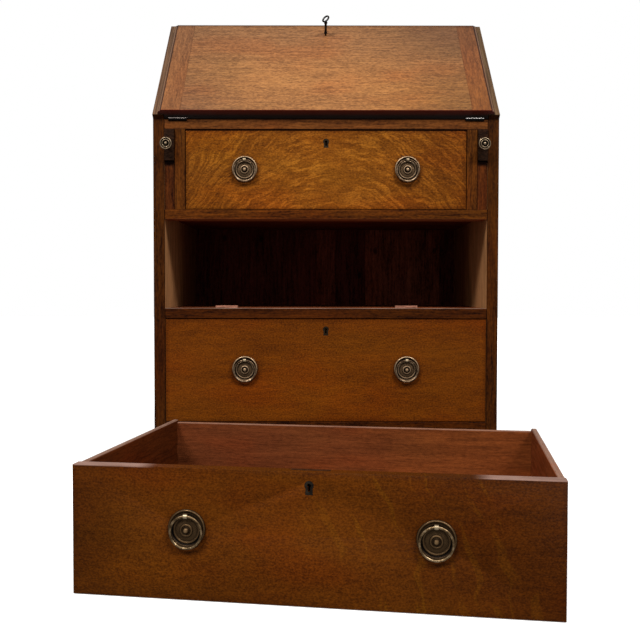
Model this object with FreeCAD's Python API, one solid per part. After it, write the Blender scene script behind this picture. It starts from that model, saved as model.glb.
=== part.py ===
import FreeCAD, Part
import math
import os
from FreeCAD import Vector

os.makedirs("parts", exist_ok=True)

# ---------------------------------------------------------------- driving dimensions, mm
# Bureau frame while modelling: x = 0 on the centre line, y = 0 at the front of the stiles
# (+y to the back), z = 0 on the floor.
WIDTH = 690.0
DEPTH = 440.0
HEIGHT = 1000.0
SIDE_T = 22.5
SLOPE = 46.8            # slope of the fall above horizontal, degrees
AXIS_Z = 751.0          # writing height and fall hinge axis
DESK_T = 20.5
FALL_T = 20.5
LIP_N = 11.0            # height of the sloped side edges above the hinge plane
BASE_Z = 120.0          # underside of the carcass
FOOT_H = 96.0
BASE_OUT = 13.0         # overhang of the base moulding
FLOOR_TOP = 145.0       # top of the carcass floor
RAIL_LO = (353.4, 373.9)
RAIL_UP = (552.3, 571.2)
RAIL_D = 55.0
DUST_T = 10.0
BACK_Y = 430.0          # inner face of the back boards
BACK_TOP = 989.5
TOP_T = 20.0
PART_X = (280.6, 302.4)  # loper partitions
LOPER_H = 61.7
LOPER_TRAVEL = 250.0
FALL_LEN = 325.0        # length of the fall along the slope
FALL_BODY = 303.2       # length of the part between the sides
FALL_X = 334.0          # half width over the lip
FALL_BODY_X = 322.0
CLEAT_X = 289.0         # inner edge of the end cleats
MOULD = 5.8
KEY_S = 286.0           # keyhole, along the slope from the hinge
HINGE_X = 296.0
HINGE_HALF = 18.0
KNUCKLE_R = 4.0
PIN_R = 1.5
DRAWER_D = 420.0
FRONT_T = 20.0
LINING_T = 9.5
RECESS = 0.6            # drawer fronts behind the stile face
HANDLE_X = 162.5
LOOSE_X, LOOSE_Y, LOOSE_YAW = -25.9, -631.5, -9.02   # drawer standing on the floor
ORIGIN_X, ORIGIN_Y = 0.0, -120.952     # centre of the whole footprint

HW = WIDTH / 2
IN = HW - SIDE_T
TH = math.radians(SLOPE)
CT, ST = math.cos(TH), math.sin(TH)
DESK_BOT = AXIS_Z - DESK_T
X, Y, Z = Vector(1, 0, 0), Vector(0, 1, 0), Vector(0, 0, 1)


# ---------------------------------------------------------------- small helpers
def box(x0, x1, y0, y1, z0, z1):
    return Part.makeBox(x1 - x0, y1 - y0, z1 - z0, Vector(x0, y0, z0))


def cyl(p, axis, r, h):
    return Part.makeCylinder(r, h, Vector(*p), axis)


def wire(pts):
    """Closed wire; an entry ('arc', mid, end) bends from the point before it."""
    edges = []
    first = pts[0]
    cur = first
    for p in pts[1:] + [first]:
        if isinstance(p[0], str):
            edges.append(Part.Arc(Vector(*cur), Vector(*p[1]), Vector(*p[2])).toShape())
            cur = p[2]
        else:
            if (Vector(*p) - Vector(*cur)).Length > 1e-7:
                edges.append(Part.LineSegment(Vector(*cur), Vector(*p)).toShape())
            cur = p
    return Part.Wire(edges)


def lift(pts, f):
    out = []
    for p in pts:
        if isinstance(p[0], str):
            out.append(("arc", f(p[1]), f(p[2])))
        else:
            out.append(f(p))
    return out


def prism_yz(pts, x0, x1):
    w = wire(lift(pts, lambda p: (x0, p[0], p[1])))
    return Part.Face(w).extrude(Vector(x1 - x0, 0, 0))


def prism_xz(pts, y0, y1):
    w = wire(lift(pts, lambda p: (p[0], y0, p[1])))
    return Part.Face(w).extrude(Vector(0, y1 - y0, 0))


def prism_xy(pts, z0, z1):
    w = wire(lift(pts, lambda p: (p[0], p[1], z0)))
    return Part.Face(w).extrude(Vector(0, 0, z1 - z0))


def turned(pts, cx, cz):
    """Turned piece about a front-to-back axis; points are (radius, y)."""
    w = wire(lift(pts, lambda p: (cx + p[0], p[1], cz)))
    return Part.Face(w).revolve(Vector(cx, 0, cz), Y, 360)


def fuse(a, *more):
    return a.multiFuse(list(more)).removeSplitter()


def cut(a, *more):
    for m in more:
        a = a.cut(m)
    return a


def group(*shapes):
    return Part.makeCompound(list(shapes))


def mirror_x(s):
    return s.mirror(Vector(0, 0, 0), X)


def to_slope(s):
    """From the fall's own flat frame (x, along slope, out of face) to the bureau."""
    s = s.copy()
    s.rotate(Vector(0, 0, 0), X, SLOPE)
    s.translate(Vector(0, 0, AXIS_Z))
    return s


def slope_y(z, n):
    s = (z - AXIS_Z - n * CT) / ST
    return s * CT - n * ST


nodes = {}

# ---------------------------------------------------------------- fall lock spaces used by several pieces
bolt_slot = box(-9, 9, 296, 314.2, 3.0, 7.0)

# ---------------------------------------------------------------- top board
top = prism_yz([(slope_y(HEIGHT - TOP_T, LIP_N), HEIGHT - TOP_T), (slope_y(HEIGHT, LIP_N), HEIGHT),
                (DEPTH, HEIGHT), (DEPTH, BACK_TOP), (BACK_Y, BACK_TOP), (BACK_Y, HEIGHT - TOP_T)],
               -HW + 6, HW - 6)
nodes["top_board"] = top.cut(to_slope(bolt_slot))

# ---------------------------------------------------------------- desk board with stopped tongues
desk = fuse(box(-IN, IN, 0, BACK_Y, DESK_BOT, AXIS_Z), box(-IN - 6, IN + 6, 14, BACK_Y, DESK_BOT, AXIS_Z))
for sx in (-1, 1):
    cx = sx * HINGE_X
    desk = cut(desk, box(cx - HINGE_HALF, cx + HINGE_HALF, 0, 32, AXIS_Z - 2, AXIS_Z + 1),
               cyl((cx - HINGE_HALF - 0.4, 0, AXIS_Z), X, KNUCKLE_R + 0.4, 2 * HINGE_HALF + 0.8))
TOP_BOLT_Y = (RECESS + 12.4, RECESS + 17.6)
desk = desk.cut(box(-9.8, 9.8, TOP_BOLT_Y[0], TOP_BOLT_Y[1], DESK_BOT - 1, DESK_BOT + 9.5))
nodes["desk_board"] = desk


# ---------------------------------------------------------------- rails, dust boards, floor
def rail(z0, z1):
    zm = (z0 + z1) / 2
    r = fuse(box(-IN, IN, 0, RAIL_D, z0, z1), box(-IN - 10, IN + 10, 12, 43, zm - 5, zm + 5))
    return r.cut(box(-9.8, 9.8, TOP_BOLT_Y[0], TOP_BOLT_Y[1], z0 - 1, z0 + 9.5))


nodes["rail_upper"] = rail(*RAIL_UP)
nodes["rail_lower"] = rail(*RAIL_LO)
nodes["dust_boards"] = group(*[box(-IN, IN, RAIL_D, BACK_Y - 2, zt - DUST_T, zt) for zt in (RAIL_UP[1], RAIL_LO[1])])
nodes["bottom_board"] = fuse(box(-IN, IN, 0, BACK_Y, BASE_Z, FLOOR_TOP), box(-IN - 6, IN + 6, 14, BACK_Y, BASE_Z, FLOOR_TOP))

# ---------------------------------------------------------------- sides
side_pts = [(0, BASE_Z), (0, AXIS_Z), (-LIP_N * ST, AXIS_Z + LIP_N * CT), (slope_y(HEIGHT, LIP_N), HEIGHT),
            (DEPTH, HEIGHT), (DEPTH, BASE_Z)]
left = prism_yz(side_pts, -HW, -IN)
left = cut(left, box(-IN - 11.5, -IN, BACK_Y, DEPTH, BASE_Z, BACK_TOP), nodes["top_board"],
           box(-IN - 6, -IN, 14, BACK_Y, DESK_BOT, AXIS_Z), box(-IN - 6, -IN, 14, BACK_Y, BASE_Z, FLOOR_TOP))
for z0, z1 in (RAIL_LO, RAIL_UP):
    zm = (z0 + z1) / 2
    left = left.cut(box(-IN - 10, -IN, 12, 43, zm - 5, zm + 5))
nodes["side_left"] = left
nodes["side_right"] = mirror_x(left)

# ---------------------------------------------------------------- back boards
bw = 2 * (IN + 11.5)
cuts = [0.0, 0.212, 0.398, 0.611, 0.803, 1.0]
boards = []
for a, b in zip(cuts, cuts[1:]):
    x0 = -bw / 2 + a * bw + (0.15 if a > 0 else 0.0)
    x1 = -bw / 2 + b * bw - (0.15 if b < 1 else 0.0)
    board = box(x0, x1, BACK_Y, DEPTH, BASE_Z, BACK_TOP)
    if b < 1:       # tongue
        board = fuse(board, box(x1, x1 + 5, BACK_Y + 3, BACK_Y + 7, BASE_Z, BACK_TOP))
    if a > 0:       # groove
        board = board.cut(box(x0, x0 + 5.5, BACK_Y + 2.9, BACK_Y + 7.1, BASE_Z, BACK_TOP))
    boards.append(board)
nodes["back_boards"] = group(*boards)

# ---------------------------------------------------------------- loper partitions and fillers
part_right = box(PART_X[0], PART_X[1], 0, BACK_Y, RAIL_UP[1], DESK_BOT)
nodes["loper_partition_right"] = part_right
nodes["loper_partition_left"] = mirror_x(part_right)
LOPER_TOP = DESK_BOT - 0.5
LOPER_BOT = LOPER_TOP - LOPER_H
filler = box(PART_X[1], IN, 3, BACK_Y, RAIL_UP[1], LOPER_BOT - 0.3)
nodes["loper_fillers"] = group(mirror_x(filler), filler)

# ---------------------------------------------------------------- drawer stops
stops = []
for zt, spans in ((FLOOR_TOP, ((-206, -161), (161, 206))), (RAIL_LO[1], ((-224, -179), (141, 186))),
                  (RAIL_UP[1], ((-206, -161), (161, 206)))):
    for x0, x1 in spans:
        stops.append(box(x0, x1, RECESS + FRONT_T + 1.0, 35.0, zt, zt + 5.0))
nodes["drawer_stops"] = group(*stops)

# ---------------------------------------------------------------- base moulding and bracket feet
BX, BY = HW + BASE_OUT, BASE_OUT
ov = [(BX - 52, FOOT_H), (BX, FOOT_H), (BX, BASE_Z - 13),
      ("arc", (HW + BASE_OUT * 0.7071, BASE_Z - 13 + 13 * 0.7071), (HW, BASE_Z)), (BX - 52, BASE_Z)]
side_strip = prism_xz(ov, -BY, DEPTH)
side_strip = side_strip.cut(prism_xy([(BX + 1, -BY - 1), (BX - 53, -BY + 53), (BX - 53, -BY - 1)], 0, 200))
fv = [(-BY, FOOT_H), (-BY, BASE_Z - 13), ("arc", (-BASE_OUT * 0.7071, BASE_Z - 13 + 13 * 0.7071), (0, BASE_Z)),
      (-BY + 52, BASE_Z), (-BY + 52, FOOT_H)]
front_strip = prism_yz(fv, -BX, BX)
for sx in (-1, 1):
    tri = prism_xy([(sx * (BX + 1), -BY - 1), (sx * (BX - 53), -BY + 53), (sx * (BX + 1), -BY + 53)], 0, 200)
    front_strip = front_strip.cut(tri)
nodes["base_moulding"] = group(front_strip, mirror_x(side_strip), side_strip)

FOOT_L, FOOT_T = 126.0, 20.0
scroll = [(0, 0), (56, 0), (58, 26), ("arc", (64.5, 46), (82, 57)), ("arc", (106, 66), (118, 82)), (FOOT_L, FOOT_H), (0, FOOT_H)]
fr = prism_xz(lift(scroll, lambda p: (BX - p[0], p[1])), -BY, -BY + FOOT_T)
fr = fr.cut(prism_xy([(BX, -BY), (BX + 1, -BY), (BX + 1, -BY + FOOT_T + 1), (BX - FOOT_T - 1, -BY + FOOT_T + 1)], -1, 200))
fs = prism_yz(lift(scroll, lambda p: (-BY + p[0], p[1])), BX - FOOT_T, BX)
fs = fs.cut(prism_xy([(BX, -BY), (BX - FOOT_T - 1, -BY + FOOT_T + 1), (BX - FOOT_T - 1, -BY - 1), (BX, -BY - 1)], -1, 200))
nodes["front_feet"] = group(mirror_x(fr), mirror_x(fs), fr, fs)
rs = prism_yz(lift(scroll, lambda p: (DEPTH - p[0], p[1])), BX - FOOT_T, BX)
rb = prism_xz([(BX - FOOT_T, 0), (BX - FOOT_T, FOOT_H), (BX - 112, FOOT_H), (BX - 66, 0)], DEPTH - 18, DEPTH)
nodes["rear_feet"] = group(mirror_x(rs), mirror_x(rb), rs, rb)

# ---------------------------------------------------------------- fitted interior
SHELF_Z = (832.0, 842.0)
nodes["pigeonhole_shelf"] = box(-IN, IN, 242, BACK_Y, *SHELF_Z)
UPPER_X = (-215.0, -107.5, 0.0, 107.5, 215.0)
LOWER_X = (-107.5, 107.5)


def divider(xc, z0, z1, dip):
    zm = (z0 + z1) / 2
    pts = [(BACK_Y, z0), (250, z0), ("arc", (250 + dip, zm), (250, z1)), (BACK_Y, z1)]
    return prism_yz(pts, xc - 3.5, xc + 3.5)


nodes["pigeonhole_dividers"] = group(*([divider(x, SHELF_Z[1], HEIGHT - TOP_T, 24) for x in UPPER_X]
                                       + [divider(x, AXIS_Z, SHELF_Z[0], 16) for x in LOWER_X]))

# ---------------------------------------------------------------- hinges of the fall
fixed = []
moving = []
for sx in (-1, 1):
    cx = sx * HINGE_X
    leaf = fuse(box(cx - HINGE_HALF, cx + HINGE_HALF, 4.7, 32, AXIS_Z - 2, AXIS_Z),
                *[box(min(a, b), max(a, b), 0, 4.7, AXIS_Z - 2, AXIS_Z) for a, b in ((cx - 18, cx - 6.9), (cx + 6.9, cx + 18))],
                *[cyl((min(a, b), 0, AXIS_Z), X, KNUCKLE_R, 11.1) for a, b in ((cx - 18, cx - 6.9), (cx + 6.9, cx + 18))])
    leaf = leaf.cut(cyl((cx - 19, 0, AXIS_Z), X, PIN_R + 0.04, 38))
    fixed += [leaf, cyl((cx - 18, 0, AXIS_Z), X, PIN_R, 36)]
    mv = fuse(box(cx - HINGE_HALF, cx + HINGE_HALF, 4.7, 32, 0, 2), box(cx - 6.6, cx + 6.6, 0, 4.7, 0, 2),
              cyl((cx - 6.6, 0, 0), X, KNUCKLE_R, 13.2))
    moving.append(mv.cut(cyl((cx - 19, 0, 0), X, PIN_R + 0.06, 38)))
nodes["desk_hinges"] = group(*fixed)
nodes["fall_hinge_leaves"] = to_slope(group(*moving))

# ---------------------------------------------------------------- fall: panel between two end cleats
S0 = 0.8
tongue = box(-CLEAT_X - 7, CLEAT_X + 7, 22, 280, 7, 13)
panel = fuse(box(-CLEAT_X, CLEAT_X, S0, FALL_BODY, 0, LIP_N + 0.3), box(-CLEAT_X, CLEAT_X, S0, FALL_LEN, LIP_N + 0.3, FALL_T), tongue)
cleat = fuse(box(CLEAT_X, FALL_BODY_X, S0, FALL_BODY, 0, LIP_N + 0.3), box(CLEAT_X, FALL_X, S0, FALL_LEN, LIP_N + 0.3, FALL_T))
cleat = cleat.cut(tongue)


def thumbnail(edge):
    a = edge - MOULD
    return [(a, FALL_T + 1), (a, FALL_T - 2.2), ("arc", (a + MOULD * 0.7071, 12.6 + (FALL_T - 2.2 - 12.6) * 0.7071), (edge, 12.6)),
            (edge + 1, 12.6), (edge + 1, FALL_T + 1)]


side_cutter = prism_xz(thumbnail(FALL_X), -1, FALL_LEN + 2)
top_cutter = prism_yz(thumbnail(FALL_LEN), -FALL_X - 2, FALL_X + 2)
knuckle_cut = cyl((HINGE_X - HINGE_HALF - 0.4, 0, 0), X, KNUCKLE_R + 0.4, 2 * HINGE_HALF + 0.8)
leaf_cut = box(HINGE_X - HINGE_HALF, HINGE_X + HINGE_HALF, 0, 32, -1, 2)
cleat = cut(cleat, side_cutter, top_cutter, knuckle_cut, leaf_cut)
lock_pocket = box(-30, 30, 255, FALL_BODY + 1, -1, 12)
keyhole = fuse(cyl((0, KEY_S, 5), Z, 3.3, 20), box(-1.6, 1.6, KEY_S - 10.5, KEY_S, 5, 25))
panel = cut(panel, top_cutter, knuckle_cut, leaf_cut, mirror_x(knuckle_cut), mirror_x(leaf_cut), lock_pocket, keyhole)
nodes["fall_panel"] = to_slope(panel)
nodes["fall_cleat_right"] = to_slope(cleat)
nodes["fall_cleat_left"] = to_slope(mirror_x(cleat))

case = box(-30, 30, 255, 302.8, 0, 12)
case = cut(case, box(-27, 27, 258, 300, 1.6, 10.6), box(-8.5, 8.5, 296, 304, 3.1, 6.9),
           fuse(cyl((0, KEY_S, 9), Z, 3.3, 5), box(-1.6, 1.6, KEY_S - 10.5, KEY_S, 9, 14)))
nodes["fall_lock"] = to_slope(case)
nodes["fall_bolt"] = to_slope(box(-8, 8, 280, 302.2, 3.6, 6.4))


def key_shape():
    # shank along z, flat oval bow and bit in the x-z plane
    shank = fuse(cyl((0, 0, 7.6), Z, 2.6, 41.9), cyl((0, 0, FALL_T + 0.6), Z, 3.6, 2.4), cyl((0, 0, 44.6), Z, 3.7, 2.6))
    bit = box(0, 8.8, -1.1, 1.1, 7.8, 10.2)
    outer = Part.Ellipse(Vector(0, 0, 54.8), 10.6, 6.8)
    inner = Part.Ellipse(Vector(0, 0, 54.8), 7.6, 3.8)

    def ell(e, half):
        e = e.toShape()
        e.rotate(Vector(0, 0, 54.8), X, 90)
        e.translate(Vector(0, half, 0))
        return Part.Face(Part.Wire([e])).extrude(Vector(0, -2 * half, 0))
    bow = ell(outer, 1.8).cut(ell(inner, 3))
    rim = [ed for ed in bow.Edges if ed.Length > 30]
    bow = bow.makeFillet(1.1, rim)
    return fuse(shank, bit, bow)


key = key_shape()
key.rotate(Vector(0, 0, 0), Z, 48)
key.translate(Vector(0, KEY_S, 0))
nodes["key"] = to_slope(key)

# ---------------------------------------------------------------- lopers and their knobs
LX = (PART_X[1] + 0.3, IN - 0.3)
LCX, LCZ = (LX[0] + LX[1]) / 2, (LOPER_TOP + LOPER_BOT) / 2
LY0 = -4.0
KNOB_X = {"left": -LCX - 3.5, "right": LCX}      # the left knob is set off the middle of its loper
for k, sx in (("left", -1), ("right", 1)):
    blank = box(min(sx * LX[0], sx * LX[1]), max(sx * LX[0], sx * LX[1]), LY0, 404, LOPER_BOT, LOPER_TOP)
    nodes["loper_" + k] = blank.cut(cyl((KNOB_X[k], LY0, LCZ), Y, 3.0, 20))
kp = [(0, LY0 + 16), (2.9, LY0 + 16), (2.9, LY0), (8.2, LY0), (8.2, LY0 - 1.6), ("arc", (5.2, LY0 - 3.6), (4.4, LY0 - 8)),
      ("arc", (6.2, LY0 - 13.2), (11.5, LY0 - 16)), ("arc", (12.2, LY0 - 17.4), (11.3, LY0 - 18.7)),
      ("arc", (10.4, LY0 - 19.2), (9.6, LY0 - 18.4)), ("arc", (8.9, LY0 - 17.6), (8.2, LY0 - 17.9)), ("arc", (7.2, LY0 - 19.0), (6.2, LY0 - 18.5)),
      (5.2, LY0 - 16.8), (3.4, LY0 - 16.6), (3.2, LY0 - 18.6), ("arc", (2.3, LY0 - 20.0), (0.7, LY0 - 20.5)), (0, LY0 - 20.5)]
for k, x in KNOB_X.items():
    nodes["loper_knob_" + k] = turned(kp, x, LCZ)


# ---------------------------------------------------------------- handles
def handle(cx, cz):
    plate = [(0, 0), (25.0, 0), ("arc", (25.4, -1.7), (24.2, -3.0)), ("arc", (22.9, -3.2), (21.9, -2.2)),
             ("arc", (21.2, -1.5), (20.2, -1.4)), (0, -1.4)]
    p = turned(plate, cx, cz + 2.0).cut(cyl((cx, -3, cz), Y, 3.1, 5))
    py, pz = -6.6, cz + 19.1
    lug = fuse(cyl((cx - 2.5, py, pz), X, 3.3, 5.0), box(cx - 2.5, cx + 2.5, py, -1.0, pz - 2.1, pz + 2.1))
    p = fuse(p, lug).cut(cyl((cx - 4, py, pz), X, 2.2, 8.0))
    boss = [(0, FRONT_T + 7.5), (2.8, FRONT_T + 7.5), (2.8, -1.4), (18.0, -1.4), (18.0, -2.0), ("arc", (17.7, -2.8), (16.9, -3.1)),
            ("arc", (16.1, -3.1), (15.6, -2.6)), ("arc", (15.0, -2.2), (14.2, -2.5)), (9.0, -3.3), ("arc", (8.4, -4.6), (7.3, -5.1)),
            ("arc", (6.5, -5.1), (6.1, -4.4)), ("arc", (5.5, -3.9), (4.6, -4.3)), (4.2, -5.6), ("arc", (3.0, -7.3), (0.8, -8.0)), (0, -8.0)]
    b = turned(boss, cx, cz).cut(box(cx - 2.9, cx + 2.9, -12, -1.0, cz + 16.6, cz + 22))
    nut = box(cx - 6, cx + 6, FRONT_T, FRONT_T + 4.5, cz - 6, cz + 6).cut(cyl((cx, FRONT_T - 1, cz), Y, 2.9, 7))
    ring = Part.makeTorus(21.2, 1.75, Vector(cx, py, cz - 2.1), Y)
    return p, b, nut, ring


# ---------------------------------------------------------------- drawers
def rounded_side(x0, x1, y0, y1, h):
    r = 3.2
    body = prism_xz([(x0, 0), (x1, 0), (x1, h - r), ("arc", (x1 - r * 0.2929, h - r * 0.2929), (x1 - r, h)), (x0 + r, h),
                     ("arc", (x0 + r * 0.2929, h - r * 0.2929), (x0, h - r))], y0, y1)
    c = 6.0
    corner = prism_yz([(y1 + 1, h - c), (y1, h - c), ("arc", (y1 - c * 0.2929, h - c * 0.2929), (y1 - c, h)), (y1 - c, h + 1), (y1 + 1, h + 1)],
                      x0 - 1, x1 + 1)
    return body.cut(corner)


def tails(h, y_root, y_tip, n, x0, x1):
    """Dovetails on the end of a drawer side, widening from root to tip."""
    p = (h - 26.0) / n
    out = []
    for i in range(n):
        zc = 8.0 + p * (i + 0.5)
        a, b = 0.27 * p, 0.37 * p
        out.append(prism_yz([(y_root, zc - a), (y_tip, zc - b), (y_tip, zc + b), (y_root, zc + a)], x0, x1))
    return out


def keyhole_outline(cz, r, half_top, half_bot, drop, y0, y1):
    slot = prism_xz([(-half_top, cz), (-half_bot, cz - drop), (half_bot, cz - drop), (half_top, cz)], y0, y1)
    return fuse(cyl((0, y0, cz), Y, r, y1 - y0), slot)


def drawer(prefix, w, h, n_tails, place, handle_up=0.0, keyhole_up=0.0):
    hw = w / 2
    sh = h - 0.8
    back_top = h - 5.5
    d = DRAWER_D
    lap = 6.0
    bt = LINING_T
    floor_z = (8.0, 14.0)
    bottom = box(-hw + LINING_T - 4, hw - LINING_T + 4, 14, d - 0.5, *floor_z)
    front = box(-hw, hw, 0, FRONT_T, 1.0, h)
    back = box(-hw, hw, d - bt, d, floor_z[1], back_top)
    sides = {}
    for name, sx in (("side_left", -1), ("side_right", 1)):
        x0, x1 = (-hw, -hw + LINING_T) if sx < 0 else (hw - LINING_T, hw)
        ft = tails(sh, FRONT_T, lap, n_tails, x0, x1)
        bk = tails(sh, d - bt, d, n_tails, x0, x1)
        body = rounded_side(x0, x1, FRONT_T, d, sh)
        rear = box(x0 - 1, x1 + 1, d - bt, d + 1, floor_z[1], back_top)
        body = fuse(body.cut(rear), *ft)
        body = fuse(body, *[t.common(box(x0, x1, d - bt, d, floor_z[1], back_top)) for t in bk])
        sides[name] = body.cut(bottom)
        front = cut(front, *ft)
        back = cut(back, *[t.common(box(x0, x1, d - bt, d, floor_z[1], back_top)) for t in bk])
    front = front.cut(bottom)
    cz = (h + 1.0) / 2 + handle_up
    plates, bosses, nuts, rings = [], [], [], []
    for sx in (-1, 1):
        p, b, nut, ring = handle(sx * HANDLE_X, cz)
        plates.append(p)
        bosses.append(b)
        nuts.append(nut)
        rings.append(ring)
        front = front.cut(cyl((sx * HANDLE_X, -1, cz), Y, 3.0, FRONT_T + 2))
    kz = h - 22.0 + keyhole_up
    hole = keyhole_outline(kz, 2.6, 1.3, 1.7, 8.0, -1, 13)
    esc = keyhole_outline(kz, 6.0, 4.3, 4.9, 12.2, 0, 1.4)
    front = cut(front, box(-26, 26, 10, FRONT_T + 1, h - 44, h + 1), hole, esc)
    esc = esc.cut(hole)
    lock = box(-26, 26, 10, FRONT_T, h - 44, h)
    lock = cut(lock, box(-23, 23, 12, 18.4, h - 41, h - 2.0), box(-9.4, 9.4, 12.6, 17.4, h - 6, h + 1), hole)
    lock = fuse(lock, cyl((0, 7.5, kz), Y, 1.2, 11.2))
    bolt = box(-9, 9, 13, 17, h - 15, h - 0.6)
    out = {"front": front, "side_left": sides["side_left"], "side_right": sides["side_right"], "back": back, "bottom": bottom,
           "handle_plates": group(*(plates + bosses + nuts)), "ring_left": rings[0], "ring_right": rings[1],
           "lock": group(lock, esc), "bolt": bolt}
    for k, s in out.items():
        nodes[prefix + "_" + k] = place(s)


def put(z):
    def f(s):
        s = s.copy()
        s.translate(Vector(0, RECESS, z))
        return s
    return f


def on_floor(s):
    s = s.copy()
    s.rotate(Vector(0, 0, 0), Z, LOOSE_YAW)
    s.translate(Vector(LOOSE_X, LOOSE_Y, 0))
    return s


drawer("top_drawer", 559.2, 156.8, 3, put(RAIL_UP[1] + 0.3))
drawer("second_drawer", 643.0, 176.0, 4, on_floor, 6.0, 4.5)
drawer("third_drawer", 643.0, 206.3, 4, put(FLOOR_TOP + 0.3), 1.5, 1.8)

# ---------------------------------------------------------------- write one file per node
for name, shape in nodes.items():
    shape = shape.copy()
    shape.translate(Vector(-ORIGIN_X, -ORIGIN_Y, 0))
    bad = [i for i, s in enumerate(shape.Solids) if not s.isValid()]
    if bad or not shape.Solids:
        print("CHECK", name, "solids", len(shape.Solids), "invalid", bad)
    shape.exportStep("parts/" + name + ".step")
print(len(nodes), "nodes")
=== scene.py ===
import bpy
import math
from mathutils import Matrix, Vector

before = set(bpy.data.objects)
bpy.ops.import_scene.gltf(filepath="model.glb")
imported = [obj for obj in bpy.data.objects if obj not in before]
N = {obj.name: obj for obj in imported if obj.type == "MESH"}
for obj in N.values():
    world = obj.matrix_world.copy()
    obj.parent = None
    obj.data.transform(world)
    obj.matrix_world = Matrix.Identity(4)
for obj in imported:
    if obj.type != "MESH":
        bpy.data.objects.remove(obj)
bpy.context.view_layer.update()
scene = bpy.context.scene

OY = 0.120952                     # the stile fronts stand at this y in the row frame
SLOPE = math.radians(46.8)        # slope of the fall
HINGE_Z = 0.751
LOOSE = Vector((-0.0259, -0.6315 + OY, 0.0))
YAW = math.radians(-9.02)

# ------------------------------------------------------------------ camera, first of all
yaw, pitch, roll = math.radians(0.033), math.radians(1.869), math.radians(0.074)
fwd = Vector((math.sin(yaw) * math.cos(pitch), math.cos(yaw) * math.cos(pitch), -math.sin(pitch)))
right0 = Vector((math.cos(yaw), -math.sin(yaw), 0.0))
up0 = right0.cross(fwd)
right = math.cos(roll) * right0 + math.sin(roll) * up0
up = -math.sin(roll) * right0 + math.cos(roll) * up0
cam_data = bpy.data.cameras.new("camera")
cam_data.sensor_width = 36.0
cam_data.lens = 36.0 * 861.5 / 640.0
cam = bpy.data.objects.new("camera", cam_data)
scene.collection.objects.link(cam)
cam.matrix_world = Matrix(((right.x, up.x, -fwd.x, -0.0127), (right.y, up.y, -fwd.y, -1.728 + OY),
                           (right.z, up.z, -fwd.z, 0.4068), (0, 0, 0, 1)))
scene.camera = cam


# ------------------------------------------------------------------ small node helpers
def lin(r, g, b, k=1.0):
    def f(c):
        c = c / 255.0
        return c / 12.92 if c <= 0.04045 else ((c + 0.055) / 1.055) ** 2.4
    return (f(r) * k, f(g) * k, f(b) * k, 1.0)


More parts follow.
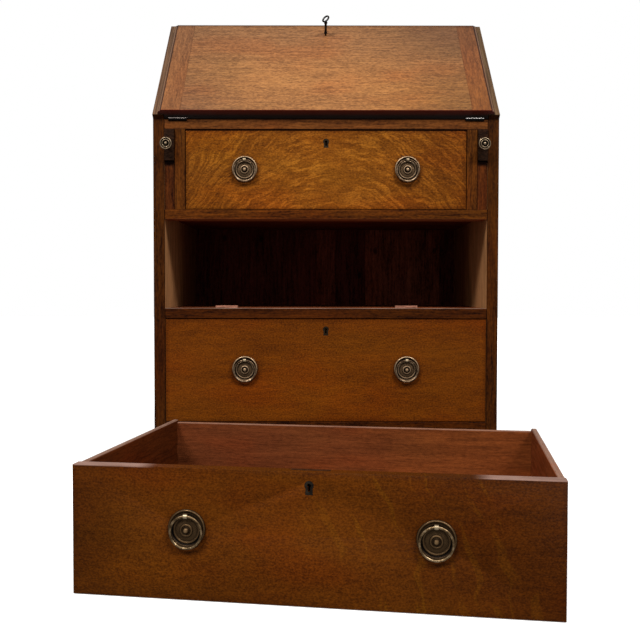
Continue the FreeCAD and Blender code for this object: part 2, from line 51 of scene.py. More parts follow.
class Mat:
    """A Principled material with short ways to add nodes. Values may be numbers, colours or sockets."""

    def __init__(self, name):
        self.mat = bpy.data.materials.new(name)
        self.mat.use_nodes = True
        self.nt = self.mat.node_tree
        self.nt.nodes.clear()
        out = self.nt.nodes.new("ShaderNodeOutputMaterial")
        self.bsdf = self.nt.nodes.new("ShaderNodeBsdfPrincipled")
        self.nt.links.new(self.bsdf.outputs[0], out.inputs[0])

    def put(self, socket, value):
        if isinstance(value, bpy.types.NodeSocket):
            self.nt.links.new(value, socket)
        else:
            socket.default_value = value

    def new(self, kind):
        return self.nt.nodes.new(kind)

    def m(self, op, a, b=0.0, c=0.0, clamp=False):
        n = self.new("ShaderNodeMath")
        n.operation = op
        n.use_clamp = clamp
        for s, v in zip(n.inputs, (a, b, c)):
            self.put(s, v)
        return n.outputs[0]

    def rng(self, v, a, b, c=0.0, d=1.0, smooth=True):
        n = self.new("ShaderNodeMapRange")
        n.interpolation_type = "SMOOTHSTEP" if smooth else "LINEAR"
        for s, x in zip(n.inputs, (v, a, b, c, d)):
            self.put(s, x)
        return n.outputs[0]

    def mix(self, fac, a, b, mode="MIX"):
        n = self.new("ShaderNodeMix")
        n.data_type = "RGBA"
        n.blend_type = mode
        self.put(n.inputs[0], fac)
        self.put(n.inputs[6], a)
        self.put(n.inputs[7], b)
        return n.outputs[2]

    def tint(self, fac, col, mul):
        """Multiply a colour by mul, by the amount fac."""
        return self.mix(fac, col, mul, "MULTIPLY")

    def ramp(self, fac, stops):
        n = self.new("ShaderNodeValToRGB")
        e = n.color_ramp.elements
        while len(e) < len(stops):
            e.new(0.5)
        for x, (p, c) in zip(e, stops):
            x.position = p
            x.color = c
        self.put(n.inputs[0], fac)
        return n.outputs[0]

    def xyz(self, x, y, z):
        n = self.new("ShaderNodeCombineXYZ")
        for s, v in zip(n.inputs, (x, y, z)):
            self.put(s, v)
        return n.outputs[0]

    def sep(self, v):
        n = self.new("ShaderNodeSeparateXYZ")
        self.put(n.inputs[0], v)
        return n.outputs[0], n.outputs[1], n.outputs[2]

    def noise(self, vec, scale, off=(0, 0, 0), detail=2.0, rough=0.5, dist=0.0):
        """Noise on vec times a scale per axis, so a large first number and small others stretch it along the others."""
        mp = self.new("ShaderNodeMapping")
        self.put(mp.inputs[0], vec)
        mp.inputs[1].default_value = off
        mp.inputs[3].default_value = scale
        n = self.new("ShaderNodeTexNoise")
        self.put(n.inputs["Vector"], mp.outputs[0])
        n.inputs["Scale"].default_value = 1.0
        n.inputs["Detail"].default_value = detail
        n.inputs["Roughness"].default_value = rough
        n.inputs["Distortion"].default_value = dist
        return n.outputs[0]

    def local(self, space):
        """Object position in metres in the frame of the carcass, the fall (x, up slope, out) or the loose drawer."""
        tc = self.new("ShaderNodeTexCoord").outputs["Object"]
        sub = self.new("ShaderNodeVectorMath")
        sub.operation = "SUBTRACT"
        self.put(sub.inputs[0], tc)
        origin = {"row": (0, OY, 0), "fall": (0, OY, HINGE_Z), "loose": tuple(LOOSE)}[space]
        sub.inputs[1].default_value = origin
        v = sub.outputs[0]
        if space != "row":
            rot = self.new("ShaderNodeVectorRotate")
            rot.rotation_type = "X_AXIS" if space == "fall" else "Z_AXIS"
            self.put(rot.inputs["Vector"], v)
            rot.inputs["Angle"].default_value = -SLOPE if space == "fall" else -YAW
            v = rot.outputs[0]
        return v

    def bump(self, height, strength, distance):
        n = self.new("ShaderNodeBump")
        n.inputs["Strength"].default_value = strength
        n.inputs["Distance"].default_value = distance
        self.put(n.inputs["Height"], height)
        self.put(self.bsdf.inputs["Normal"], n.outputs[0])


# ------------------------------------------------------------------ wood
TONE = {
    "fall": (148, 97, 52),
    "cleat_left": (140, 88, 47),
    "cleat_right": (128, 75, 36),
    "desk": (93, 50, 18),
    "top_drawer": (122, 67, 13),
    "partition": (83, 43, 8),
    "filler": (75, 34, 8),
    "stile": (62, 29, 4),
    "rail_upper": (87, 43, 7),
    "rail_lower": (62, 26, 3),
    "third": (99, 48, 5),
    "second": (87, 43, 5),
    "loper": (42, 24, 13),
    "lining": (99, 49, 22),
    # Lit and shaded copies of the lining tone for the loose drawer's sides: painted shade on the left, painted light on
    # the right.
    "lining_painted_shade": (78, 34, 10),
    "lining_painted_light": (126, 61, 28),
    "back": (78, 31, 21),
    "bare": (178, 126, 82),
    "dust": (120, 62, 35),
    "stop": (150, 100, 80),
}


def wood(name, space, grain, tone, seed, contrast=0.88, broad=0.6, streak=0.9, run=1.6, fleck=0.5, pore=0.5, rough=0.45, bump=0.25,
         special=None, spec=0.05, hue=0.7, lines_per_m=150.0, speck=(150.0, 290.0, 200.0)):
    """Oak with drifting grain, growth bands, fibres, a fine stipple and dark pores.
    special(mat, colour, c) adds what one board shows."""
    w = Mat(name)
    pos = w.local(space)
    x, y, z = w.sep(pos)
    u, v, q = {"x": (x, z, y), "y": (y, z, x), "z": (z, x, y), "s": (y, x, z), "f": (x, y, z)}[grain]
    so = (seed * 3.17, seed * 7.31, seed * 5.77)
    vec = w.xyz(u, v, q)
    wander = w.m("SUBTRACT", w.noise(vec, (3.1, 8.0, 8.0), so, 1.0), 0.5)
    v2 = w.m("MULTIPLY_ADD", wander, 0.016, v)
    q2 = w.m("MULTIPLY_ADD", wander, 0.010, q)
    g = w.xyz(u, v2, q2)
    bands = w.noise(g, (1.3 * run, 26.0, 14.0), so, 2.0)
    lines = w.noise(g, (7.0 * run, lines_per_m, 60.0), so, 3.0, 0.6)
    fibre = w.noise(g, (24.0 * run, 460.0, 230.0), so, 2.0, 0.6)
    stip = w.noise(vec, speck, so, 2.0, 0.6)
    pores = w.noise(g, (70.0, 820.0, 600.0), so, 1.0)
    patch = w.noise(vec, (2.6, 6.0, 6.0), (so[1], so[2], so[0]), 2.0)
    t = w.m("MULTIPLY_ADD", w.m("SUBTRACT", bands, 0.5), 0.9 * broad, 0.5)
    t = w.m("MULTIPLY_ADD", w.m("SUBTRACT", lines, 0.5), 1.1 * streak, t)
    t = w.m("MULTIPLY_ADD", w.m("SUBTRACT", fibre, 0.5), 0.7 * streak, t)
    t = w.m("MULTIPLY_ADD", w.m("SUBTRACT", stip, 0.5), 1.3 * fleck, t)
    t = w.m("MULTIPLY_ADD", w.m("SUBTRACT", patch, 0.5), 0.4, t)
    base = lin(*TONE[tone])
    lo = tuple(base[i] * max(0.08, 1 - contrast * (0.95, 1.03, 1.08)[i]) for i in range(3)) + (1,)
    hi = tuple(base[i] * (1 + contrast * (1.0, 1.1, 1.2)[i]) for i in range(3)) + (1,)
    col = w.ramp(t, [(0.18, lo), (0.5, base), (0.82, hi)])
    warm = w.noise(vec, (5.0, 11.0, 9.0), (so[2], so[0], so[1]), 2.0)
    col = w.tint(w.rng(warm, 0.50, 0.72, 0.0, hue), col, (1.10, 0.86, 0.72, 1))
    col = w.tint(w.rng(warm, 0.50, 0.30, 0.0, hue), col, (0.93, 1.02, 1.02, 1))
    hole = w.rng(pores, 0.56, 0.70)
    c = {"pos": pos, "x": x, "y": y, "z": z, "vec": vec, "g": g, "so": so, "lines": lines, "patch": patch, "hole": hole, "stip": stip}
    if special:
        col = special(w, col, c)
    col = w.tint(w.m("MULTIPLY", hole, pore), col, (0.42, 0.36, 0.32, 1))
    w.put(w.bsdf.inputs["Base Color"], col)
    w.put(w.bsdf.inputs["Roughness"], w.rng(lines, 0.25, 0.75, rough + 0.08, rough - 0.05))
    w.bsdf.inputs["Specular IOR Level"].default_value = spec
    h = w.m("SUBTRACT", w.m("MULTIPLY", lines, 0.6), w.m("MULTIPLY", hole, 0.8))
    w.bump(h, bump, 0.0006)
    return w.mat


def chain(*fs):
    def f(w, col, c):
        for g in fs:
            col = g(w, col, c)
        return col
    return f


def darken_ends(half, amount, inner=0.45):
    def f(w, col, c):
        e = w.rng(w.m("ABSOLUTE", c["x"]), half * inner, half, 0.0, amount)
        return w.tint(e, col, (0.42, 0.36, 0.34, 1))
    return f


def edge_dark(hx, z0, z1, width, amount):
    """Darker rim along the four edges of a drawer front, where polish and dirt gather."""
    def f(w, col, c):
        dx = w.m("SUBTRACT", hx, w.m("ABSOLUTE", c["x"]))
        dz = w.m("MINIMUM", w.m("SUBTRACT", c["z"], z0), w.m("SUBTRACT", z1, c["z"]))
        d = w.m("MINIMUM", dx, dz)
        n = w.noise(c["vec"], (14, 40, 40), c["so"], 2.0)
        d = w.m("MULTIPLY_ADD", w.m("SUBTRACT", n, 0.5), width * 0.9, d)
        e = w.rng(d, 0.0, width, amount, 0.0)
        return w.tint(e, col, (0.42, 0.34, 0.30, 1))
    return f


def painted_shadow_round_handles(cz, amount, hx=0.1625):
    """Painted shadow round the handle plates, most of it below them."""
    def f(w, col, c):
        a = w.m("SUBTRACT", w.m("ABSOLUTE", c["x"]), hx)
        b = w.m("SUBTRACT", c["z"], cz - 0.003)
        r = w.m("SQRT", w.m("ADD", w.m("MULTIPLY", a, a), w.m("MULTIPLY", b, b)))
        n = w.noise(c["vec"], (60, 60, 60), c["so"], 2.0)
        r = w.m("MULTIPLY_ADD", w.m("SUBTRACT", n, 0.5), 0.008, r)
        e = w.rng(r, 0.023, 0.038, amount, 0.0)
        return w.tint(e, col, (0.36, 0.29, 0.25, 1))
    return f


def painted_gap_shade(places, width=0.0013, amount=0.85):
    """Painted shade in the gaps where two boards meet: dark lines at distances from the middle plane."""
    def f(w, col, c):
        ax = w.m("ABSOLUTE", c["x"])
        front = w.rng(c["y"], 0.0010, 0.0020, 1.0, 0.0)
        for px in places:
            d = w.m("ABSOLUTE", w.m("SUBTRACT", ax, px))
            col = w.tint(w.m("MULTIPLY", w.rng(d, width * 0.35, width, amount, 0.0), front), col, (0.22, 0.17, 0.15, 1))
        return col
    return f


def painted_shade_lines(levels, amount=0.9):
    """Dark lines of painted shade along level edges, under overhangs and in gaps: (height, reach) pairs, reach below
    the height if negative and above it if positive.
    """
    def f(w, col, c):
        n = w.noise(c["vec"], (24, 60, 60), c["so"], 2.0)
        for z, reach in levels:
            e = w.m("DIVIDE", w.m("SUBTRACT", c["z"], z), reach)
            e = w.m("MULTIPLY_ADD", w.m("SUBTRACT", n, 0.5), 0.5, e)
            col = w.tint(w.rng(e, 0.45, 1.0, amount, 0.0), col, (0.14, 0.10, 0.09, 1))
        return col
    return f


def board_tones(bands):
    """Boards of one row differ in tone: (from x, to x, factor)."""
    def f(w, col, c):
        for x0, x1, mul in bands:
            k = w.m("MULTIPLY", w.rng(c["x"], x0 - 0.002, x0 + 0.002), w.rng(c["x"], x1 - 0.002, x1 + 0.002, 1.0, 0.0))
            col = w.tint(k, col, mul)
        return col
    return f


def under_side(z_low, colour):
    """Unpolished underside."""
    def f(w, col, c):
        pale = w.ramp(c["lines"], [(0.3, tuple(0.7 * v for v in colour[:3]) + (1,)), (0.6, colour)])
        return w.mix(w.rng(c["z"], z_low + 0.0002, z_low + 0.0008, 1.0, 0.0), col, pale)
    return f


def worn_arris(z_top, colour, amount):
    """Front top arris rubbed pale by the drawer above it."""
    def f(w, col, c):
        n = w.noise(c["vec"], (9, 40, 40), c["so"], 2.0)
        k = w.m("MULTIPLY", w.rng(c["z"], z_top - 0.0007, z_top - 0.0002), w.rng(c["y"], 0.010, 0.016, 1.0, 0.0))
        return w.mix(w.m("MULTIPLY", k, w.rng(n, 0.3, 0.6, 0.4 * amount, amount)), col, colour)
    return f


def flame(w, col, c):
    """Ray figure of the top drawer: short golden ribbons that lie along flat arches over the middle of the board."""
    x, y, z = c["x"], c["y"], c["z"]
    bx = w.m("SUBTRACT", w.noise(c["pos"], (9, 9, 12), (3.1, 0.2, 5.5), 2.0), 0.5)
    bz = w.m("SUBTRACT", w.noise(c["pos"], (13, 9, 16), (8.4, 2.2, 1.5), 2.0), 0.5)
    xx = w.m("MULTIPLY_ADD", bx, 0.06, w.m("SUBTRACT", x, 0.02))
    zz = w.m("MULTIPLY_ADD", bz, 0.05, z)
    across = w.m("MULTIPLY_ADD", w.m("MULTIPLY", xx, xx), 2.4, zz)
    rv = w.xyz(xx, across, y)
    rib = w.noise(rv, (32, 190, 30), (3.3, 1.7, 0.4), 2.0, 0.5, 0.25)
    rib2 = w.noise(rv, (20, 100, 20), (7.3, 4.7, 2.4), 2.0, 0.5, 0.25)
    wide = w.noise(c["pos"], (17, 20, 22), (1.1, 4.2, 2.0), 2.0, 0.5)
    live = w.rng(wide, 0.34, 0.60, 0.25, 1.0)
    lift = w.m("MULTIPLY", w.m("MAXIMUM", w.rng(rib, 0.52, 0.60), w.m("MULTIPLY", w.rng(rib2, 0.54, 0.61), 0.9)), live)
    sink = w.rng(rib, 0.49, 0.34)
    col = w.tint(w.m("MULTIPLY", sink, 0.25), col, (0.60, 0.52, 0.42, 1))
    col = w.tint(w.m("MULTIPLY", lift, 0.9), col, (1.62, 1.78, 2.1, 1))
    return col


def rays(direction, where, strength, seed, mul=(1.35, 1.6, 1.2, 1)):
    """Scattered ray flecks: long pale streaks leaning by an angle, fading in across the board."""
    def f(w, col, c):
        ang = math.radians(direction)
        x, z = c["x"], c["z"]
        bend = w.m("SUBTRACT", w.noise(c["pos"], (6, 6, 9), c["so"], 2.0), 0.5)
        xx = w.m("MULTIPLY_ADD", bend, 0.09, x)
        along = w.m("ADD", w.m("MULTIPLY", xx, math.cos(ang)), w.m("MULTIPLY", z, math.sin(ang)))
        across = w.m("SUBTRACT", w.m("MULTIPLY", z, math.cos(ang)), w.m("MULTIPLY", xx, math.sin(ang)))
        rv = w.xyz(along, across, c["y"])
        n = w.noise(rv, (8, 62, 10), (seed, 0.7, 1.9), 2.0, 0.5, 0.4)
        f1 = w.m("ADD", w.rng(n, 0.56, 0.64), w.m("MULTIPLY", w.rng(n, 0.44, 0.34), -0.35))
        mask = w.rng(x, where[0], where[1])
        k = w.m("MULTIPLY", w.m("MULTIPLY", f1, mask), strength)
        return w.mix(k, col, w.tint(1.0, col, mul))
    return f


def light_patch(cx, cz, rx, rz, amount, mul):
    """A soft patch where the board is lighter or darker."""
    def f(w, col, c):
        a = w.m("DIVIDE", w.m("SUBTRACT", c["x"], cx), rx)
        b = w.m("DIVIDE", w.m("SUBTRACT", c["z"], cz), rz)
        r = w.m("SQRT", w.m("ADD", w.m("MULTIPLY", a, a), w.m("MULTIPLY", b, b)))
        n = w.noise(c["vec"], (10, 16, 16), c["so"], 2.0)
        r = w.m("MULTIPLY_ADD", w.m("SUBTRACT", n, 0.5), 0.6, r)
        return w.tint(w.rng(r, 0.2, 1.0, amount, 0.0), col, mul)
    return f


def fall_painted_light_and_shade(w, col, c):
    """The fall, with painted light and shade: greyer and darker towards the top as painted sheen and shade, darker
    towards the ends, a warmer lower right, painted shadow lines in the lip's quirks, painted highlights on its round, a
    dark line at the cleat joints, and a bottom edge face painted nearly black as shade.
    """
    s = c["y"]
    ax = w.m("ABSOLUTE", c["x"])
    # Painted sheen and shade: greyer and darker towards the top.
    k = w.rng(s, 0.10, 0.30, 0.0, 1.0)
    col = w.tint(k, col, (0.74, 0.78, 0.93, 1))
    # Painted shade: darker towards both ends, most of it low down and less on the cleats.
    k = w.m("MULTIPLY", w.rng(ax, 0.12, 0.28), w.rng(s, 0.04, 0.30, 1.0, 0.15))
    k = w.m("MULTIPLY", k, w.rng(ax, 0.288, 0.2892, 1.0, 0.3))
    col = w.tint(k, col, (0.70, 0.70, 0.74, 1))
    k = w.m("MULTIPLY", w.rng(c["x"], 0.0, 0.25), w.rng(s, 0.02, 0.20, 1.0, 0.0))
    col = w.tint(k, col, (1.0, 0.98, 0.76, 1))
    # Painted shade darkening the top edge of the fall.
    k = w.rng(s, 0.306, 0.318, 0.0, 0.75)
    col = w.tint(k, col, (0.55, 0.50, 0.45, 1))
    # Painted shade: darker towards the ends near the bottom.
    k = w.m("MULTIPLY", w.rng(ax, 0.05, 0.30), w.rng(s, 0.0, 0.16, 0.5, 0.15))
    col = w.tint(k, col, (0.86, 0.86, 0.95, 1))
    # Painted shadow lines in the quirks of the thumbnail lip, at the ends and along the top.
    for dist in (w.m("ABSOLUTE", w.m("SUBTRACT", ax, 0.3282)), w.m("ABSOLUTE", w.m("SUBTRACT", s, 0.3192))):
        col = w.tint(w.rng(dist, 0.0010, 0.0026, 0.95, 0.0), col, (0.14, 0.11, 0.10, 1))
    # Painted shade over the upper right.
    k = w.m("MULTIPLY", w.rng(c["x"], 0.05, 0.28), w.rng(s, 0.12, 0.28))
    k = w.m("MULTIPLY", k, w.rng(ax, 0.288, 0.2892, 1.0, 0.25))
    col = w.tint(k, col, (0.60, 0.58, 0.60, 1))
    # Painted highlights on the round of the lip.
    col = w.mix(w.m("MULTIPLY", w.rng(ax, 0.3298, 0.3308), 0.8), col, lin(112, 86, 66))
    col = w.mix(w.m("MULTIPLY", w.rng(ax, 0.3332, 0.3338), 0.6), col, lin(150, 124, 102))
    e = w.rng(w.m("ABSOLUTE", w.m("SUBTRACT", ax, 0.289)), 0.0003, 0.0011, 0.45, 0.0)
    col = w.tint(e, col, (0.4, 0.33, 0.3, 1))
    # Painted shade: the bottom edge face, which looks down, is nearly black.
    n = w.noise(c["vec"], (30, 60, 60), c["so"], 2.0)
    e = w.m("MULTIPLY_ADD", w.m("SUBTRACT", n, 0.5), 0.0006, s)
    edge = w.ramp(w.m("DIVIDE", c["z"], 0.0205), [(0.0, lin(10, 5, 4)), (0.34, lin(22, 9, 6)), (0.6, lin(74, 20, 6)), (1.0, lin(106, 28, 8))])
    return w.mix(w.rng(e, 0.0012, 0.0020, 0.98, 0.0), col, edge)


def bare_inside(w, col, c):
    """Inner faces of the sides are unpolished, and painted shade darkens them further back in the opening."""
    inner = w.rng(w.m("ABSOLUTE", c["x"]), 0.32262, 0.3230, 1.0, 0.0)
    low = w.rng(c["z"], 0.7300, 0.7312, 1.0, 0.0)
    k = w.m("MULTIPLY", inner, low)
    k = w.m("MULTIPLY", k, w.rng(c["y"], 0.0006, 0.0016))
    b = TONE["bare"]
    pale = w.ramp(c["lines"], [(0.3, lin(*b, 0.75)), (0.5, lin(*b)), (0.7, lin(*b, 1.3))])
    # Painted shade: the bare wood darkens further back in the opening.
    pale = w.tint(w.rng(c["y"], 0.11, 0.30), pale, (0.42, 0.30, 0.22, 1))
    return w.mix(k, col, pale)


def slope_edge(w, col, c):
    """The sloped edges of the sides are greyer and worn, darker towards the top, with a line of painted shade beside
    the fall.
    """
    d = w.m("SUBTRACT", w.m("MULTIPLY", c["y"], -math.sin(SLOPE)), w.m("MULTIPLY", w.m("SUBTRACT", HINGE_Z, c["z"]), math.cos(SLOPE)))
    k = w.m("MULTIPLY", w.rng(d, 0.0085, 0.0105), 0.8)
    up_ = w.rng(c["z"], 0.78, 0.98)
    along = w.noise(c["pos"], (420.0, 7.0, 7.0), c["so"], 2.0, 0.6)
    strip = w.ramp(along, [(0.36, lin(88, 64, 48)), (0.64, lin(132, 101, 76))])
    strip = w.tint(up_, strip, (0.78, 0.82, 0.84, 1))
    strip = w.tint(w.rng(c["x"], 0.0, 0.1), strip, (0.80, 0.86, 0.78, 1))
    # Painted shade in the gap between the fall's lip and the side.
    strip = w.tint(w.rng(w.m("ABSOLUTE", c["x"]), 0.3342, 0.3362, 0.85, 0.0), strip, (0.22, 0.18, 0.16, 1))
    return w.mix(k, col, strip)


def pale_top(z_top, depth, tint, amount, mid=None):
    """Worn, unpolished top edge; it may fade towards the middle of the board."""
    def f(w, col, c):
        k = w.rng(c["z"], z_top - depth, z_top - depth * 0.5, 0.0, amount)
        if mid:
            k = w.m("MULTIPLY", k, w.rng(w.m("ABSOLUTE", c["x"]), mid[0], mid[1], 0.0, 1.0))
        n = w.noise(c["vec"], (20, 60, 60), c["so"], 2.0)
        return w.mix(w.m("MULTIPLY", k, w.rng(n, 0.2, 0.6, 0.6, 1.0)), col, tint)
    return f


def dark_top(z_top, depth, mid, tint):
    """Top edge that keeps its polish in the middle of the board."""
    def f(w, col, c):
        k = w.rng(c["z"], z_top - depth, z_top - depth * 0.5)
        k = w.m("MULTIPLY", k, w.rng(w.m("ABSOLUTE", c["x"]), mid[0], mid[1], 1.0, 0.0))
        return w.tint(k, col, tint)
    return f


def knots(places):
    """Dark knots with the grain drawn round them."""
    def f(w, col, c):
        for kx, kz, r0 in places:
            a = w.m("SUBTRACT", c["x"], kx)
            b = w.m("MULTIPLY", w.m("SUBTRACT", c["z"], kz), 0.6)
            r = w.m("SQRT", w.m("ADD", w.m("MULTIPLY", a, a), w.m("MULTIPLY", b, b)))
            n = w.noise(c["vec"], (60, 60, 60), c["so"], 2.0)
            r = w.m("MULTIPLY_ADD", w.m("SUBTRACT", n, 0.5), r0 * 0.7, r)
            col = w.tint(w.rng(r, r0 * 0.5, r0 * 1.3, 0.9, 0.0), col, (0.28, 0.22, 0.2, 1))
            ring = w.m("SINE", w.m("MULTIPLY", r, 900.0))
            k = w.m("MULTIPLY", w.rng(ring, 0.2, 0.9), w.rng(r, r0, r0 * 3.2, 0.5, 0.0))
            col = w.tint(k, col, (0.55, 0.48, 0.42, 1))
        return col
    return f


# ------------------------------------------------------------------ metal
def turned_metal(name, space, hx, cz, size, shades, stops, band=None, lug=False, rough=(0.40, 0.58)):
    """Aged turned brass, by distance from the turning axis: patina and painted shade in the hollows, painted highlights
    on the crests.
    """
    w = Mat(name)
    pos = w.local(space)
    x, y, z = w.sep(pos)
    a = w.m("SUBTRACT", w.m("ABSOLUTE", x), hx)
    b = w.m("SUBTRACT", z, cz)
    r = w.m("SQRT", w.m("ADD", w.m("MULTIPLY", a, a), w.m("MULTIPLY", b, b)))
    if lug:
        b2 = w.m("SUBTRACT", b, 0.002)
        plate = w.m("SQRT", w.m("ADD", w.m("MULTIPLY", a, a), w.m("MULTIPLY", b2, b2)))
        outside = w.rng(r, 0.0180, 0.0182)
        r = w.m("MULTIPLY_ADD", outside, w.m("SUBTRACT", plate, r), r)
    n = w.noise(pos, (190, 190, 190), (1, 2, 3), 3.0, 0.6)
    n2 = w.noise(pos, (800, 800, 800), (4, 2, 1), 2.0, 0.6)
    rr = w.m("MULTIPLY_ADD", w.m("SUBTRACT", n, 0.5), 0.0008, r)
    col = w.ramp(w.m("DIVIDE", rr, size), [(t, shades[k]) for t, k in stops])
    height = n2
    if band:
        theta = w.m("ARCTAN2", b, a)
        mill = w.m("SINE", w.m("MULTIPLY_ADD", r, 2200.0, w.m("MULTIPLY", theta, 44.0)))
        inside = w.m("MULTIPLY", w.rng(r, band[0] - 0.0003, band[0] + 0.0003), w.rng(r, band[1] - 0.0003, band[1] + 0.0003, 1.0, 0.0))
        col = w.tint(w.m("MULTIPLY", w.m("MULTIPLY", w.rng(mill, -0.2, 0.6), inside), 0.7), col, (0.40, 0.36, 0.32, 1))
        height = w.m("MULTIPLY_ADD", w.m("MULTIPLY", mill, inside), 0.8, n2)
    # Painted shade: in the gap between boss and ring only the lower half stays dark; the upper half takes the plate's
    # colour.
    if "pl" in shades:
        k = w.m("MULTIPLY", w.rng(b, 0.000, 0.008), w.m("MULTIPLY", w.rng(r, 0.0186, 0.0196), w.rng(r, 0.0228, 0.0236, 1.0, 0.0)))
        col = w.mix(w.m("MULTIPLY", k, 0.85), col, shades["pl"])
    # Painted highlight on the lug that holds the ring.
    if lug:
        k = w.m("MULTIPLY", w.rng(y, -0.0050, -0.0058), w.rng(r, 0.0145, 0.0155))
        col = w.mix(w.m("MULTIPLY", k, 0.9), col, lin(190, 170, 138))
    col = w.tint(w.rng(n, 0.42, 0.68, 0.0, 0.6), col, (0.55, 0.51, 0.45, 1))
    w.put(w.bsdf.inputs["Base Color"], col)
    w.bsdf.inputs["Metallic"].default_value = 0.9
    w.put(w.bsdf.inputs["Roughness"], w.rng(n, 0.3, 0.7, rough[0], rough[1]))
    w.bump(height, 0.3, 0.0003)
    return w.mat


# Radial stops: "hi" and "bh" on the crests are painted highlights; "lo" and "bl" in the hollows are patina with painted
# shade, and the "lo" band from 0.73 to 0.85 is the painted shade between boss and ring.
HANDLE_STOPS = [(0.0, "hi"), (0.05, "hi"), (0.13, "md"), (0.185, "lo"), (0.225, "lo"), (0.265, "md"), (0.295, "hi"), (0.33, "md"), (0.365, "lo"),
                (0.40, "md"), (0.54, "md"), (0.595, "lo"), (0.635, "md"), (0.675, "hi"), (0.71, "md"), (0.73, "lo"), (0.85, "lo"), (0.91, "md"),
                (0.95, "hi"), (1.0, "md")]
LOOSE_STOPS = [(0.0, "hi"), (0.05, "hi"), (0.12, "md"), (0.18, "bl"), (0.23, "bl"), (0.265, "md"), (0.295, "bh"), (0.33, "md"), (0.365, "bl"),
               (0.40, "md"), (0.54, "md"), (0.595, "bl"), (0.635, "md"), (0.675, "bh"), (0.705, "bl"), (0.73, "lo"), (0.85, "lo"), (0.91, "bl"),
               (0.96, "bh"), (1.0, "bl")]
KNOB_STOPS = [(0.0, "hi"), (0.14, "hi"), (0.23, "md"), (0.28, "lo"), (0.44, "lo"), (0.50, "md"), (0.58, "hi"), (0.66, "md"), (0.70, "lo"), (0.76, "lo"),
              (0.80, "md"), (0.90, "hi"), (1.0, "md")]


def aged(name, lo, md, hi, rough=(0.28, 0.5), scale=150, metallic=0.95, space="row", top=None, low=None, shade=None, left=None):
    """Metal with tarnish in patches and fine scratches."""
    w = Mat(name)
    pos = w.local(space)
    n = w.noise(pos, (scale, scale, scale), (2, 5, 1), 3.0, 0.62)
    n2 = w.noise(pos, (scale * 6, scale * 6, scale * 6), (2, 3, 1), 2.0, 0.6)
    t = w.m("MULTIPLY_ADD", w.m("SUBTRACT", n2, 0.5), 0.35, n)
    col = w.ramp(t, [(0.28, lo), (0.5, md), (0.72, hi)])
    if top:
        x, y, z = w.sep(pos)
        col = w.mix(w.rng(z, top[0] - 0.0014, top[0] - 0.0006, 0.0, 0.9), col, top[1])
    if low:
        x, y, z = w.sep(pos)
        col = w.mix(w.rng(z, low[0], low[0] + 0.0012, 0.97, 0.0), col, low[1])
    if shade:
        x, y, z = w.sep(pos)
        col = w.tint(w.rng(z, shade[0] - 0.012, shade[0] + 0.012), col, shade[1])
    if left:
        x, y, z = w.sep(pos)
        col = w.tint(w.rng(x, -0.1, 0.1, 1.0, 0.0), col, left)
    w.put(w.bsdf.inputs["Base Color"], col)
    w.bsdf.inputs["Metallic"].default_value = metallic
    w.put(w.bsdf.inputs["Roughness"], w.rng(n, 0.3, 0.7, rough[1], rough[0]))
    w.bump(n2, 0.2, 0.00015)
    return w.mat


# ------------------------------------------------------------------ put materials on the nodes
def give(mat, *names):
    for n in names:
        o = N[n]
        o.data.materials.clear()
        o.data.materials.append(mat)
        for p in o.data.polygons:
            p.material_index = 0


def soften(names, width, seg=2, angle=38):
    """Eased edges: join the tessellation, clear its flat seams, then round what is left."""
    for n in names:
        o = N[n]
        a = o.modifiers.new("join", "WELD")
        a.merge_threshold = 2e-5
        b = o.modifiers.new("flat", "DECIMATE")
        b.decimate_type = "DISSOLVE"
        b.angle_limit = math.radians(0.4)
        c = o.modifiers.new("ease", "BEVEL")
        c.width = width
        c.segments = seg
        c.limit_method = "ANGLE"
        c.angle_limit = math.radians(angle)
        c.harden_normals = True


IN, PART = 0.3225, (0.2806, 0.3024)
# The dark lines at IN and PART are painted shade in the gaps between boards.
side_special = chain(bare_inside, painted_gap_shade((IN,), 0.0016), slope_edge)
give(wood("oak_side_left", "row", "z", "stile", 1.0, special=chain(side_special, light_patch(-0.334, 0.22, 0.20, 0.20, 0.9, (0.74, 0.70, 0.76, 1)))), "side_left")
give(wood("oak_side_right", "row", "z", "stile", 2.3, special=side_special), "side_right")
give(wood("oak_top", "row", "x", "rail_upper", 3.1, contrast=0.6, special=slope_edge), "top_board")
# On the desk board: painted shade just below the fall's bottom edge and along the board's lower edge over the top
# drawer.
give(wood("oak_desk", "row", "x", "desk", 4.4, special=chain(painted_gap_shade((IN,)), painted_shade_lines(((0.7510, -0.0024), (0.7305, 0.0016))))), "desk_board")
give(wood("oak_rail_upper", "row", "x", "rail_upper", 5.2, special=chain(painted_gap_shade((IN,)), under_side(0.5523, lin(178, 104, 64)))), "rail_upper")
give(wood("oak_rail_lower", "row", "x", "rail_lower", 6.7, special=chain(painted_gap_shade((IN,)), worn_arris(0.3739, lin(178, 146, 126), 0.8))), "rail_lower")
give(wood("oak_floor", "row", "x", "rail_lower", 7.9), "bottom_board")
give(wood("oak_base", "row", "x", "rail_lower", 8.3), "base_moulding")
give(wood("oak_feet", "row", "x", "stile", 9.1), "front_feet", "rear_feet")
give(wood("oak_partition_left", "row", "z", "partition", 10.2, special=painted_gap_shade(PART)), "loper_partition_left")
give(wood("oak_partition_right", "row", "z", "partition", 11.6, special=painted_gap_shade(PART)), "loper_partition_right")
